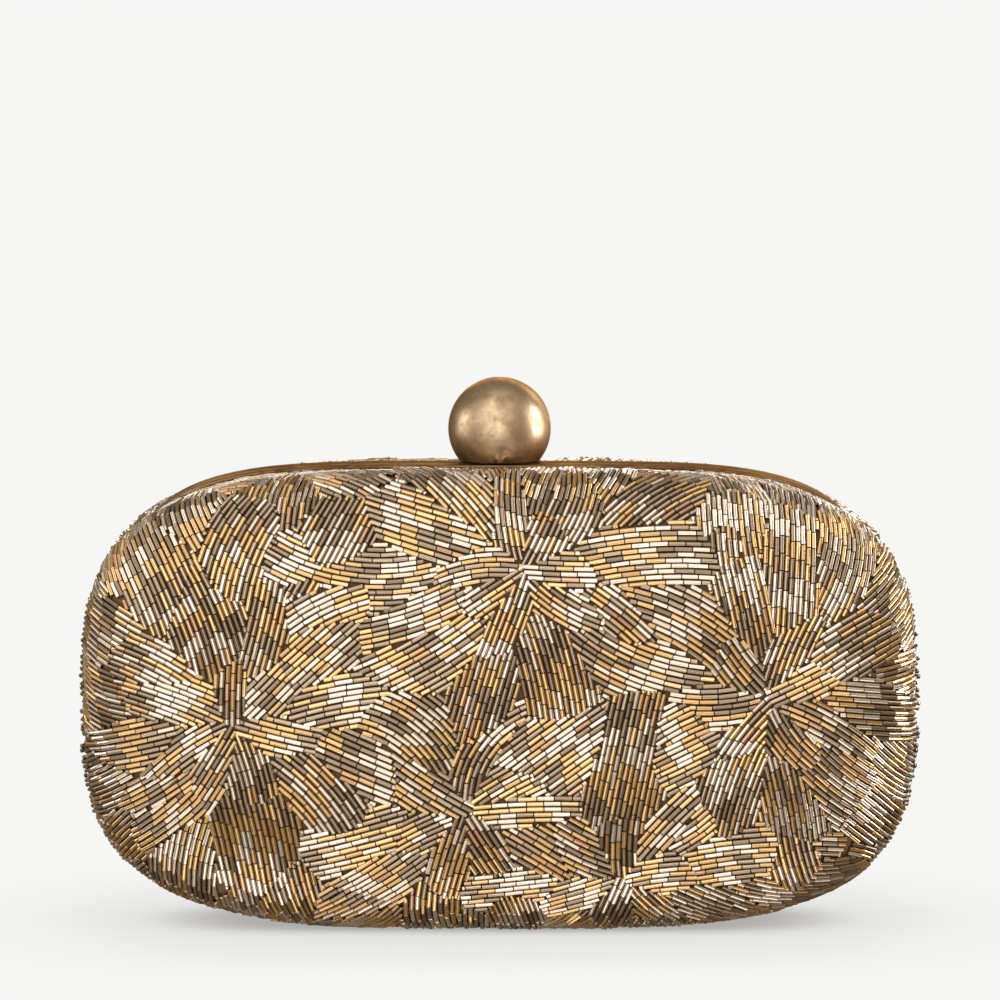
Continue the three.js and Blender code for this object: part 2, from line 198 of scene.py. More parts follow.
def make_ground():
    """A sheet that is clear but for the soft shadow of what stands close over it."""
    mesh = bpy.data.meshes.new("ground")
    corners = [(-1, -1), (1, -1), (1, 1), (-1, 1)]
    mesh.from_pydata([(x * GROUND_REACH, y * GROUND_REACH, 0) for x, y in corners], [], [(0, 1, 2, 3)])
    material = bpy.data.materials.new("ground")
    material.use_nodes = True
    tree = material.node_tree
    tree.nodes.clear()
    shade = node(tree, "ShaderNodeAmbientOcclusion", {"Distance": SHADOW_REACH}, samples=12).outputs["AO"]
    colour = by_sight(tree, (1, 1, 1), ramp(tree, shade, SHADOW_LEVELS))
    clear = node(tree, "ShaderNodeBsdfTransparent", {"Color": colour})
    output = node(tree, "ShaderNodeOutputMaterial")
    tree.links.new(clear.outputs[0], output.inputs[0])
    mesh.materials.append(material)
    ground = new_object("ground", mesh)


make_ground()
print("ground at height 0")

# %% [markdown]
# ## The bag's shape
# Both halves have one shape: a squared-off oval outline that changes with depth. It starts inside the brass
# channel, swells past it to the widest outline, and curves over the face to a line in the middle. So a
# single ring of numbers (three half sizes, two powers and a depth) says everything at one station, and one
# number v runs over the stations: 0 at the middle of the face, 1 at the widest outline and 2 at the rim in
# the channel.
# %% The outline at a station
BAG_SIDE, MID_Z, HALF_DEPTH = 90.0, 50.0, 25.0
FRAME_SIDE, FRAME_BOTTOM, FRAME_DEPTH, PARTING = 81.5, 3.1, 5.5, 0.03
LIP, CHANNEL, WEB, RIM_GAP = 0.8, 4.35, 1.12, 0.25
FRAME_POWER, TOP_POWER, BOTTOM_POWER, CENTRE_POWER = 4.6, 3.45, 3.4, 2.4
BULGE_START, BULGE_END, DOME_POWER, FOOT_CUT = 5.6, 10.5, 4.5, 0.4
RIM_DEPTH = 5.05  # the layers end just inside the channel's mouth
# PARTING is half the gap between the two frames. LIP, CHANNEL and WEB are the thickness of a frame's
# lips, the width between them and the thickness of its floor. RIM_GAP is what a lip leaves free.


def blend(first, second, share):
    return first + (second - first) * share


def ease(low, high, value):
    """0 below low, 1 above high, and an S-shaped curve between."""
    share = np.clip((value - low) / (high - low), 0, 1)
    return share * share * (3 - 2 * share)


def frame_ring(inset, depth):
    """The brass frame's outline, moved inwards by inset."""
    return (FRAME_SIDE - inset, MID_Z - inset, MID_Z - FRAME_BOTTOM - inset, FRAME_POWER, FRAME_POWER, depth)


def dome_ring(v, layer=0.0):
    """Half width, half height above and below, both powers and depth at station v, layer mm under the
    beads. Past the widest outline it blends to the frame's. On the face every size shrinks evenly, and the
    depth follows the root of 1 less a high power of what is left of the height."""
    v = np.asarray(v, float)
    depth = BULGE_END + (RIM_DEPTH - BULGE_END) * np.clip(v - 1, 0, 1)
    out = ease(BULGE_START, BULGE_END, depth)
    inset = LIP + RIM_GAP + layer
    side = blend(FRAME_SIDE - inset, BAG_SIDE - layer, out)
    top = blend(MID_Z - inset, MID_Z - layer, out)
    bottom = blend(MID_Z - FRAME_BOTTOM - inset, MID_Z + FOOT_CUT - layer, out)
    share = np.clip(1 - v, 0, 1) ** 2
    rise = np.sqrt(1 - (1 - share) ** DOME_POWER)
    even = share**1.5
    top_power = blend(FRAME_POWER, blend(TOP_POWER, CENTRE_POWER, even), out)
    bottom_power = blend(FRAME_POWER, blend(BOTTOM_POWER, CENTRE_POWER, even), out)
    side = side - share * (MID_Z - layer)
    depth = depth + (HALF_DEPTH - BULGE_END - layer) * rise
    return side, top * (1 - share), bottom * (1 - share), top_power, bottom_power, depth


def ring_point(ring, turn):
    """Point of a squared-off oval: its radius is (|cos|^p + |sin|^p)^(-1/p) of the half sizes."""
    side, top, bottom, top_power, bottom_power, depth = ring
    c, s = np.cos(turn), np.sin(turn)
    power = np.where(s >= 0, top_power, bottom_power)
    reach = (np.abs(c) ** power + np.abs(s) ** power) ** (-1 / power)
    x = side * reach * c
    z = MID_Z + np.where(s >= 0, top, bottom) * reach * s
    return np.stack(np.broadcast_arrays(x, depth, z), -1)


print("widest outline:", np.round(ring_point(dome_ring(1.0), np.array([0, np.pi / 2])), 2).tolist())

# %% From arrays to meshes
def unit(rows):
    return rows / np.linalg.norm(rows, axis=-1, keepdims=True)


def add_object(name, mesh, body, replaces=()):
    made = new_object(name, mesh)
    if replaces:
        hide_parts(*replaces)
    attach(made, body)
    return made


def mesh_from(name, points, faces, smooth=None):
    """points in mm as rows of 3, and faces as rows of one length. Edges look round up to the angle smooth."""
    points, faces = np.asarray(points, np.float32), np.asarray(faces, np.int32)
    mesh = bpy.data.meshes.new(name)
    mesh.vertices.add(len(points))
    mesh.vertices.foreach_set("co", (points * MM).ravel())
    mesh.loops.add(faces.size)
    mesh.loops.foreach_set("vertex_index", faces.ravel())
    mesh.polygons.add(len(faces))
    mesh.polygons.foreach_set("loop_start", np.arange(0, faces.size, faces.shape[1], dtype=np.int32))
    mesh.update(calc_edges=True)
    if smooth is not None:
        mesh.polygons.foreach_set("use_smooth", np.ones(len(faces), bool))
        mesh.set_sharp_from_angle(angle=math.radians(smooth))
    return mesh


def grid_faces(rows, columns, close_rows=False, close_columns=True):
    """Squares of a grid of points, which may be closed either way."""
    r = np.arange(rows if close_rows else rows - 1)[:, None]
    c = np.arange(columns if close_columns else columns - 1)[None, :]
    r2, c2 = (r + 1) % rows, (c + 1) % columns
    corners = [r * columns + c, r * columns + c2, r2 * columns + c2, r2 * columns + c]
    return np.stack(np.broadcast_arrays(*corners), -1).reshape(-1, 4)


def to_half(points, half):
    """The front half is the back one mirrored."""
    return points * np.array([1, -1 if half == "front" else 1, 1])


MERGE, EMPTY = 2e-6, 1e-7  # in metres


def tidy(mesh):
    """Merges points that coincide, drops faces that this empties and turns every face outwards."""
    work = bmesh.new()
    work.from_mesh(mesh)
    bmesh.ops.remove_doubles(work, verts=work.verts, dist=MERGE)
    bmesh.ops.dissolve_degenerate(work, edges=work.edges, dist=EMPTY)
    bmesh.ops.recalc_face_normals(work, faces=work.faces)
    work.to_mesh(mesh)
    work.free()


TURNS = 256
TURN = np.linspace(0, 2 * np.pi, TURNS, endpoint=False)
TURN = TURN + 0.1 * np.sin(4 * TURN)  # closer together at the four corners


def add_grid_uv(mesh):
    """A UV map in metres: each point's place as seen from the front."""
    layer = mesh.uv_layers.new(name="cloth")
    index = np.empty(len(mesh.loops), np.int32)
    mesh.loops.foreach_get("vertex_index", index)
    place = np.empty(len(mesh.vertices) * 3, np.float32)
    mesh.vertices.foreach_get("co", place)
    place = place.reshape(-1, 3)[index]
    layer.data.foreach_set("uv", np.ascontiguousarray(place[:, [0, 2]]).ravel())


def layer_points(v, layer):
    """Points of one layer, a row for each station v."""
    return ring_point(tuple(np.asarray(row)[:, None] for row in dome_ring(v, layer)), TURN)


def shell_mesh(name, outer, inner, half, stations=44, rim_stations=9):
    """A closed skin between two layers: out from the middle to the rim on one, and back on the other."""
    v = np.concatenate([np.linspace(0, 1, stations), 1 + np.linspace(0, 1, rim_stations)[1:]])
    points = np.concatenate([layer_points(v, outer), layer_points(v, inner)[::-1]])
    points[..., 2] = np.maximum(points[..., 2], 0)
    mesh = mesh_from(name, to_half(points.reshape(-1, 3), half), grid_faces(len(v) * 2, TURNS), 40)
    tidy(mesh)
    add_grid_uv(mesh)
    return mesh


# %% [markdown]
# ## Finishes that several materials share
# Each effect is a node group with named inputs, so that one weave or one patina serves several materials,
# each with its own values. A group hands out colours, masks and heights only. The shader itself stays in
# the material.
# %% Group: patina
def new_group(name, inputs, outputs):
    """An empty node group. inputs maps each name to its starting value, and outputs is a list of names."""
    tree = bpy.data.node_groups.new(name, "ShaderNodeTree")
    for key, value in inputs.items():
        kind = "NodeSocketFloat" if isinstance(value, (int, float)) else "NodeSocketColor"
        socket = tree.interface.new_socket(key, in_out="INPUT", socket_type=kind)
        socket.default_value = value if isinstance(value, (int, float)) else (*value, 1)
    for key in outputs:
        kind = "NodeSocketColor" if key == "Color" else "NodeSocketFloat"
        tree.interface.new_socket(key, in_out="OUTPUT", socket_type=kind)
    return tree, tree.nodes.new("NodeGroupInput").outputs, tree.nodes.new("NodeGroupOutput").inputs


def object_place(tree):
    return node(tree, "ShaderNodeTexCoord").outputs["Object"]


def noise(tree, scale, detail=3.0, roughness=0.55, place=None, distortion=0.0):
    inputs = {"Vector": place or object_place(tree), "Scale": scale, "Detail": detail}
    inputs |= {"Roughness": roughness, "Distortion": distortion}
    return node(tree, "ShaderNodeTexNoise", inputs).outputs["Fac"]


def make_patina():
    """Aged plating: cloudy darker patches over bright metal, with fine specks and soft hairline scratches."""
    start = {"Bright": (0.5, 0.3, 0.12), "Dark": (0.1, 0.05, 0.02)}
    start |= {"Cloud size": 60.0, "Amount": 0.5, "Roughness": 0.3}
    tree, given, wanted = new_group("patina", start, ("Color", "Roughness", "Height"))
    clouds = noise(tree, given["Cloud size"], 5, 0.6, distortion=0.6)
    specks = noise(tree, 1400, 2)
    squeezed = {"Vector": object_place(tree), "Scale": (1, 1, 14)}
    scratches = noise(tree, 420, 4, 0.7, node(tree, "ShaderNodeMapping", squeezed).outputs["Vector"])
    worn = maths(tree, "ADD", spread(tree, clouds, 0.38, 0.68), spread(tree, specks, 0.55, 0.75, 0, 0.35))
    worn = maths(tree, "MULTIPLY", worn, given["Amount"], clamp=True)
    colour = mixed(tree, worn, given["Bright"], given["Dark"])
    rough = maths(tree, "ADD", given["Roughness"], maths(tree, "MULTIPLY", worn, 0.25))
    rough = maths(tree, "ADD", rough, spread(tree, scratches, 0.3, 0.7, -0.05, 0.07))
    height = maths(tree, "ADD", scratches, maths(tree, "MULTIPLY", specks, 0.4))
    fill(tree, wanted, {"Color": colour, "Roughness": rough, "Height": height})
    return tree


def make_weave():
    """Two sets of threads at right angles, as rounded ridges that pass over and under each other. The colour
    is lighter on the crests and darker in the hollows, which is painted shade, with a random uneven tone over
    it.
    """
    start = {"Threads": 4200.0, "Light": (0.5, 0.38, 0.24), "Dark": (0.25, 0.18, 0.1)}
    tree, given, wanted = new_group("weave", start, ("Color", "Height"))
    place = node(tree, "ShaderNodeUVMap", uv_map="cloth").outputs["UV"]
    inputs = {0: place, "Scale": given["Threads"]}
    scaled = node(tree, "ShaderNodeVectorMath", inputs, operation="SCALE").outputs[0]
    across = node(tree, "ShaderNodeSeparateXYZ", {"Vector": scaled}).outputs
    over = maths(tree, "ADD", across["X"], maths(tree, "MULTIPLY", across["Y"], 0.25))
    under = maths(tree, "SUBTRACT", across["Y"], maths(tree, "MULTIPLY", across["X"], 0.25))
    ridges = maths(tree, "MULTIPLY", maths(tree, "SINE", over), maths(tree, "SINE", under))
    uneven = noise(tree, 90, 4, 0.6)
    height = maths(tree, "ADD", spread(tree, ridges, -1, 1), maths(tree, "MULTIPLY", uneven, 0.3))
    # painted shade: the colour follows the ridges, darker in the hollows between the threads, with random
    # uneven tone from the noise
    share = maths(tree, "MULTIPLY", spread(tree, ridges, -1, 1), spread(tree, uneven, 0.25, 0.75, 0.6, 1.0))
    fill(tree, wanted, {"Color": mixed(tree, share, given["Dark"], given["Light"]), "Height": height})
    return tree


PATINA, WEAVE = make_patina(), make_weave()
print("groups:", PATINA.name, WEAVE.name)

# %% Materials: metal
def start_material(name):
    material = bpy.data.materials.new(name)
    material.use_nodes = True
    tree = material.node_tree
    return material, tree, tree.nodes["Principled BSDF"].inputs


def placed(tree, group, **values):
    """The group inside a material's tree, with its own values."""
    made = node(tree, "ShaderNodeGroup", node_tree=group)
    fill(tree, made.inputs, {key.replace("_", " "): value for key, value in values.items()})
    return made.outputs


def add_bump(tree, shader, height, strength, distance):
    made = node(tree, "ShaderNodeBump", {"Height": height, "Strength": strength, "Distance": distance})
    fill(tree, shader, {"Normal": made.outputs["Normal"]})


def metal(name, bright, dark, roughness, amount, clouds, bump=0.12, edge=(1.0, 1.0, 1.0)):
    material, tree, shader = start_material(name)
    values = {"Cloud_size": clouds, "Amount": amount, "Roughness": roughness}
    worn = placed(tree, PATINA, Bright=bright, Dark=dark, **values)
    fill(tree, shader, {"Base Color": worn["Color"], "Roughness": worn["Roughness"]})
    fill(tree, shader, {"Metallic": 1.0, "Specular Tint": edge})
    add_bump(tree, shader, worn["Height"], bump, 0.00002)
    return material


TARNISHED = (0.55, 0.36, 0.2)  # how aged brass looks at a low angle, where clean metal turns white
FRAME_BRASS = metal("frame_brass", (0.24, 0.145, 0.066), (0.08, 0.044, 0.02), 0.4, 0.8, 70, edge=TARNISHED)
BALL_BRASS = metal("ball_brass", (0.67, 0.49, 0.31), (0.33, 0.215, 0.12), 0.3, 1.0, 130, 0.1, edge=TARNISHED)
LATCH_STEEL = metal("latch_steel", (0.45, 0.43, 0.4), (0.25, 0.235, 0.215), 0.32, 0.5, 120)
SPRING_STEEL = metal("spring_steel", (0.5, 0.49, 0.48), (0.2, 0.19, 0.18), 0.25, 0.4, 300)

# %% Materials: cloth and board
def cloth(name, light, dark, threads, roughness, sheen, bump):
    material, tree, shader = start_material(name)
    woven = placed(tree, WEAVE, Threads=threads, Light=light, Dark=dark)
    fill(tree, shader, {"Base Color": woven["Color"], "Roughness": roughness})
    fill(tree, shader, {"Sheen Weight": sheen, "Sheen Roughness": 0.35})
    add_bump(tree, shader, woven["Height"], bump, 0.00012)
    return material


# Each cloth's second colour is the painted shade in the hollows of its weave.
BACKING = cloth("backing_cloth", (0.24, 0.135, 0.055), (0.12, 0.062, 0.022), 7000.0, 0.85, 0.1, 0.5)
SATIN = cloth("satin_lining", (0.56, 0.4, 0.235), (0.42, 0.29, 0.16), 9000.0, 0.36, 0.35, 0.25)
BOARD = cloth("shell_board", (0.05, 0.042, 0.036), (0.03, 0.026, 0.022), 2500.0, 0.8, 0.0, 0.3)
print("materials:", len(bpy.data.materials))

# %% [markdown]
# ## The layers of each half
# Under the beads lie the backing cloth that they are sewn to, the stiff moulded shell, and the satin lining
# glued inside. All three are the same surface at different depths, so one function makes them. Each ends
# just inside the brass channel.
# %% Backing cloth, shell and lining
LAYERS = {  # depths under the beads of the outer and the inner face, material and slot
    "cover": (1.2, 1.6, BACKING, "beading"),
    "shell": (1.8, 3.2, BOARD, "shell_board"),
    "lining": (3.4, 3.9, SATIN, "satin"),
}


def make_layers(half):
    made = {}
    for layer, (outer, inner, material, slot) in LAYERS.items():
        name = f"{half}_{layer}_cloth" if layer == "cover" else f"{half}_{layer}_skin"
        mesh = shell_mesh(name, outer, inner, half)
        mesh.materials.append(material)
        made[layer] = add_object(name, mesh, f"{half}_half", (f"{half}_{layer}",))
    return made


layers = {half: make_layers(half) for half in ("back", "front")}
print("layers:", [o.name for made in layers.values() for o in made.values()])

# %% [markdown]
# ## The brass frames
# Each frame is a strip folded into a channel and bent round to the bag's outline. The channel's section is
# carried round the outline. Its corners are rounded off a little, as folded sheet is, so that they catch
# the light as thin bright lines.
# %% Frame channels
def rounded(corners, radius, steps=3):
    """The corners of a closed section, each swapped for a short quadratic curve that its sides touch."""
    corners = np.asarray(corners, float)
    before = np.roll(corners, 1, 0) - corners
    after = np.roll(corners, -1, 0) - corners
    start, end = corners + unit(before) * radius, corners + unit(after) * radius
    t = np.linspace(0, 1, steps)[None, :, None]
    arc = (1 - t) ** 2 * start[:, None] + 2 * t * (1 - t) * corners[:, None] + t**2 * end[:, None]
    return arc.reshape(-1, 2)


def channel_mesh(name, half):
    inner = LIP + CHANNEL
    floor = PARTING + WEB
    section = [(inner + LIP, FRAME_DEPTH), (inner, FRAME_DEPTH), (inner, floor), (LIP, floor)]
    section += [(LIP, FRAME_DEPTH), (0, FRAME_DEPTH), (0, PARTING), (inner + LIP, PARTING)]
    inset, depth = rounded(section, 0.22).T[:, :, None]
    points = to_half(ring_point(frame_ring(inset, depth), TURN).reshape(-1, 3), half)
    mesh = mesh_from(name, points, grid_faces(len(inset), TURNS, close_rows=True), 50)
    tidy(mesh)
    mesh.materials.append(FRAME_BRASS)
    return mesh


def cut_box(piece, low, high):
    """Takes a box out of a piece, with the cut made final."""
    low, high = np.array(low), np.array(high)
    corners = np.array([[x, y, z] for x in (0, 1) for y in (0, 1) for z in (0, 1)]) * (high - low) + low
    faces = [(0, 1, 3, 2), (4, 6, 7, 5), (0, 4, 5, 1), (2, 3, 7, 6), (0, 2, 6, 4), (1, 5, 7, 3)]
    tool = new_object("tool", mesh_from("tool", corners, faces))
    cut = piece.modifiers.new("cut", "BOOLEAN")
    cut.object, cut.operation, cut.solver = tool, "DIFFERENCE", "EXACT"
    bpy.context.view_layer.update()
    shaped = piece.evaluated_get(bpy.context.evaluated_depsgraph_get())
    result = bpy.data.meshes.new_from_object(shaped)
    piece.modifiers.clear()
    piece.data = result
    bpy.data.objects.remove(tool)


def make_frame(half):
    name = f"{half}_frame_channel"
    mesh = channel_mesh(name, half)
    return add_object(name, mesh, f"{half}_half", (f"{half}_frame",))


STEM_Y, SLOT_HALF_WIDTH = 3.0, 1.45
SLOT_X, SLOT_Z = (-1.6, 5.6), (92, 104)  # the stem's slot goes through the top of the back frame
back_frame, front_frame = make_frame("back"), make_frame("front")
slot_low, slot_high = [(SLOT_X[i], STEM_Y + SLOT_HALF_WIDTH * (2 * i - 1), SLOT_Z[i]) for i in (0, 1)]
cut_box(back_frame, slot_low, slot_high)
print("frame faces:", len(back_frame.data.polygons), len(front_frame.data.polygons))

# %% [markdown]
# ## Unrolling the dome
# The beads are planned on a flat sheet and then laid on the dome. The sheet is the dome unrolled from its
# middle outwards: each station's outline keeps its shape, and lies as far out as the arc length to it. To
# go back, the station whose flat outline passes through a point is found by halving an interval, for all
# the points at once.
# %% Flat sheet to dome
BEAD_LIMIT = 6.05  # the beading stops at this depth, at the brass
stations = np.linspace(0, 2, 1601)
profile = ring_point(dome_ring(stations), np.pi / 2)[:, 1:]
stations_out = np.concatenate([[0], np.cumsum(np.linalg.norm(np.diff(profile, axis=0), axis=1))])
LAST_OUT = np.interp(-BEAD_LIMIT, -profile[stations > 1, 0], stations_out[stations > 1])
FLAT_SIDE = BAG_SIDE - MID_Z  # half the length of the line in the middle


def flat_ring(out, v):
    side, top, bottom, top_power, bottom_power, depth = dome_ring(v)
    return FLAT_SIDE + out, out, out, top_power, bottom_power, depth


def find_station(u, w):
    """How far out each flat point lies, its station and its turn."""
    w = np.where(np.abs(w) < 1e-3, 1e-3, w)
    low, high = np.full(u.shape, 1e-4), np.full(u.shape, stations_out[-1])
    for _ in range(26):
        out = (low + high) / 2
        turn = np.arctan2(w / out, u / (FLAT_SIDE + out))
        edge = ring_point(flat_ring(out, np.interp(out, stations_out, stations)), turn)
        inside = np.hypot(u, w) < np.hypot(edge[..., 0], edge[..., 2] - MID_Z)
        low, high = np.where(inside, low, out), np.where(inside, out, high)
    return out, np.interp(out, stations_out, stations), np.arctan2(w / out, u / (FLAT_SIDE + out))


def lay(u, w):
    """Flat points laid on the back dome."""
    _, v, turn = find_station(u, w)
    return ring_point(dome_ring(v), turn)


def lay_with_slopes(u, w, step=0.25):
    """The points, and how the dome runs for one mm right and one mm up on the sheet."""
    along_u = (lay(u + step, w) - lay(u - step, w)) / (2 * step)
    along_w = (lay(u, w + step) - lay(u, w - step)) / (2 * step)
    return lay(u, w), along_u, along_w


print("flat sheet:", round(2 * (FLAT_SIDE + LAST_OUT)), "by", round(2 * LAST_OUT), "mm")

# %% [markdown]
# ## Petals
# Each flower has tiers of feather-shaped petals, each tier growing out from behind the one inside it. A
# petal is an oval with its own direction. A point on the sheet belongs to the petal whose oval it is
# deepest in, which gives the pointed meeting lines of the real embroidery without drawing any of them.
# %% Plan the petals
# Each tier: how far out its petals start, their length and width, and how many there are.
TIERS = ((1.0, 17.0, 9.5, 7), (12.0, 21.0, 11.5, 10), (28.0, 23.0, 13.0, 13), (46.0, 25.0, 14.0, 17))
# Each flower: its centre, across and up on the sheet, and its turn.
FRONT_FLOWERS = ((-57, -4, 0.0), (5.5, 29, 0.3), (-7.5, -23, 0.1), (58, 1, -0.1), (27, -37, 0.25))
BACK_FLOWERS = ((-60, 8, 0.2), (-14, -20, 0.0), (10, 27, 0.35), (40, -30, 0.1), (66, 10, 0.0), (-38, 44, 0.3))
# The columns of the table of petals. u and w are places on the sheet, across and up.
BASE_U, BASE_W, DIRECTION, LENGTH, WIDTH, BEND, LIFT, MOOD, CYCLES, ROW_PITCH, SLANT = range(11)
OWN_FLOWER, OVAL_REACH, RAISED = 1.15, 0.56, 0.8


def plan_petals(flowers, seed):
    """The table of petals, one row each. A petal that lies nearer to another flower's centre is left out."""
    dice = np.random.default_rng(seed)
    centres = np.array([flower[:2] for flower in flowers], float)
    rows = []
    for k, (u, w, turn) in enumerate(flowers):
        for tier, (start, length, width, count) in enumerate(TIERS):
            turns = turn + (np.arange(count) + 0.5 * (tier % 2)) * 2 * np.pi / count + np.pi / 2
            turns = turns + dice.normal(0, 0.15, count)
            lengths = length * dice.uniform(0.78, 1.35, count)
            widths = width * dice.uniform(0.8, 1.2, count)
            starts = start + dice.uniform(-2.5, 2.5, count)
            outwards = np.stack([np.cos(turns), np.sin(turns)], -1)
            base = centres[k] + starts[:, None] * outwards
            middle = base + 0.5 * lengths[:, None] * outwards
            away = np.linalg.norm(middle[:, None] - centres[None], axis=2)
            keep = away[:, k] <= OWN_FLOWER * away.min(axis=1)
            turns = turns + dice.normal(0, 0.1 * (tier > 0), count)
            bend = dice.normal(0, 0.018, count)
            lift = 0.1 * (3 - tier) + dice.uniform(0, 0.28, count)
            mood = dice.normal(0, 0.2, count)
            cycles = np.where(dice.random(count) < 0.25, 1.7, dice.uniform(0.8, 1.15, count))
            pitch = dice.uniform(1.08, 1.26, count)
            slant = dice.choice([-1, 1], count) * dice.uniform(0.1, 0.35, count)
            table = np.column_stack([base, turns, lengths, widths, bend, lift, mood, cycles, pitch, slant])
            rows.append(table[keep])
    return np.concatenate(rows)


def owner(petals, u, w):
    """The petal that each flat point belongs to: the one for which the sum of the squares of its distances
    along and across, as shares of the oval's half sizes, is least. Raised petals count for more."""
    best, found = np.full(u.shape, np.inf), np.zeros(u.shape, int)
    for i, (base_u, base_w, turn, length, width, bend, lift, *_) in enumerate(petals):
        du, dw = u - base_u, w - base_w
        along = du * math.cos(turn) + dw * math.sin(turn)
        across = dw * math.cos(turn) - du * math.sin(turn) - 0.5 * bend * along**2
        far = ((along - 0.5 * length) / (OVAL_REACH * length)) ** 2 + (across / (0.5 * width)) ** 2
        far = far - RAISED * lift
        found = np.where(far < best, i, found)
        best = np.minimum(far, best)
    return found


front_petals, back_petals = plan_petals(FRONT_FLOWERS, 11), plan_petals(BACK_FLOWERS, 23)
print("petals:", len(front_petals), len(back_petals))

# %% [markdown]
# ## Rows of beads
# In each petal the beads lie in rows along it. Each row starts a little further on than the last, so that
# the joints run in slanting lines. A bead is trimmed back to the part of it that lies in its own petal, and
# is left out if that is too short. Within a petal the colour runs from pewter at its base through gold to
# champagne at its tip, ragged from bead to bead, with some beads out of turn.
# %% Place the beads on the sheet
BEAD_PITCH, BEAD_GAP, THICKNESS = 3.85, 0.12, 0.96  # the last as a share of the distance between rows
SHORTEST = 2  # a trimmed bead covers at least this many of the places along it
START_CHANCE, JOINT_CHANCE, ACROSS_CHANCE = 0.1, 0.16, 0.03
SAMPLES = np.linspace(0, 1, 13)


def row_point(petal, along, across):
    """A point of a petal's bent frame, laid out on the sheet. Along is measured in its own row."""
    base_u, base_w, turn, _, _, bend, *_ = petal
    angle = bend * along / (1 - bend * across)
    u = np.sin(angle) / bend - across * np.sin(angle)
    w = (1 - np.cos(angle)) / bend + across * np.cos(angle)
    return base_u + u * math.cos(turn) - w * math.sin(turn), base_w + u * math.sin(turn) + w * math.cos(turn)


def petal_beads(petal, dice):
    """Every place for a bead in one petal: points along it, and its distance across. The joints between the
    beads of a row are evenly spaced but for a little chance."""
    length, width, pitch, slant = petal[[LENGTH, WIDTH, ROW_PITCH, SLANT]]
    reach = math.ceil(1.4 * width / pitch)
    rows = np.arange(-reach, reach + 1)[:, None]
    steps = np.arange(-3, math.ceil(2.0 * length / BEAD_PITCH) + 1)
    start = (slant * rows) % 1 + dice.normal(0, START_CHANCE, rows.shape)
    joints = (steps + start) * BEAD_PITCH + dice.normal(0, JOINT_CHANCE, (len(rows), len(steps)))
    first, last = joints[:, :-1] + BEAD_GAP / 2, joints[:, 1:] - BEAD_GAP / 2
    along = first[..., None] + (last - first)[..., None] * SAMPLES
    across = rows * pitch + dice.normal(0, ACROSS_CHANCE, first.shape)
    return along.reshape(-1, len(SAMPLES)), across.reshape(-1, 1)


def longest_run(own):
    """The first and last place of the longest unbroken stretch in each row, and its length."""
    run, best, last = (np.zeros(len(own), int) for _ in range(3))
    for place in range(own.shape[1]):
        run = np.where(own[:, place], run + 1, 0)
        last = np.where(run > best, place, last)
        best = np.maximum(best, run)
    return last - best + 1, last, best


def plan_beads(petals, seed):
    """Both ends of every bead on the sheet, its petal, and how far along its petal it lies."""
    dice = np.random.default_rng(seed)
    found = []
    for index, petal in enumerate(petals):
        along, across = petal_beads(petal, dice)
        u, w = row_point(petal, along, across)
        near = np.abs(w).max(axis=1) < LAST_OUT + 2
        found.append((np.full(len(along), index)[near], along[near], u[near], w[near]))
    index, along, u, w = (np.concatenate(part) for part in zip(*found))
    own = owner(petals, u, w) == index[:, None]
    hit = own.sum(axis=1) >= SHORTEST
    index, along, u, w, own = (part[hit] for part in (index, along, u, w, own))
    out, _, _ = find_station(u, w)
    first, last, run = longest_run(own & (out < LAST_OUT))
    keep = np.flatnonzero(run >= SHORTEST)
    index = index[keep]
    first, last = np.maximum(first[keep] - 1, 0), np.minimum(last[keep] + 1, len(SAMPLES) - 1)
    ends = np.stack([u[keep, first], w[keep, first], u[keep, last], w[keep, last]], -1)
    share = along[keep].mean(axis=1) / petals[index, LENGTH]
    return ends, index, share


PEWTER, GOLD, CHAMPAGNE, COPPER = range(4)
PEWTER_END, GOLD_END = 0.36, 0.7  # shares of the petal
RAGGED, OUT_OF_TURN, COPPER_SHARE = 0.12, 0.2, 0.045


def choose_finish(petals, index, share, seed):
    """Each bead's finish. The colours follow each other along a petal, most often just once."""
    dice = np.random.default_rng(seed)
    value = share * petals[index, CYCLES] + petals[index, MOOD] + dice.normal(0, RAGGED, share.shape)
    value = value % 1
    finish = np.where(value < PEWTER_END, PEWTER, np.where(value < GOLD_END, GOLD, CHAMPAGNE))
    stray = dice.random(share.shape)
    finish = np.where(stray < OUT_OF_TURN, dice.integers(0, 3, share.shape), finish)
    return np.where((stray > 1 - COPPER_SHARE) & (finish != CHAMPAGNE), COPPER, finish)


front_plan, back_plan = plan_beads(front_petals, 5), plan_beads(back_petals, 6)
print("beads:", len(front_plan[0]), len(back_plan[0]))

# %% [markdown]
# ## Bead meshes
# A bugle bead is a short cut tube. Eight sides are enough at this size, with a small chamfer at each end
# that sets one bead off from the next. All the beads of one finish in one half are a single mesh, made as
# whole arrays. A colour attribute carries a random number for each bead, and marks its two ends and the
# sides that don't face out, which the material darkens: painted shade along the flanks, and at the ends
# the darker cut glass together with painted shade in the joints.
# %% Build beads
SIDES = 8
CHAMFER = 0.07
END_RADII = np.array([0.8, 1, 1, 0.8])
RIM_LIFT, RIM_START, RIM_END = 0.7, 1.35, 1.9  # between these stations the beads bunch up to the brass
# Painted shade for each side: the third side faces out and stays clear, the two flanks and the sides towards
# the cloth are fully shaded.
SIDE_PAINTED_SHADE = np.array([1.0, 0.05, 0.0, 0.05, 1.0, 1.0, 1.0, 1.0])  # the third side faces out
SUNK, TILT, LEAST_WIDTH = 0.1, 0.03, 0.7
TILT_CHANCE, LIFT_CHANCE, WIDTH_CHANCE = 0.035, 0.04, (0.95, 1.02)


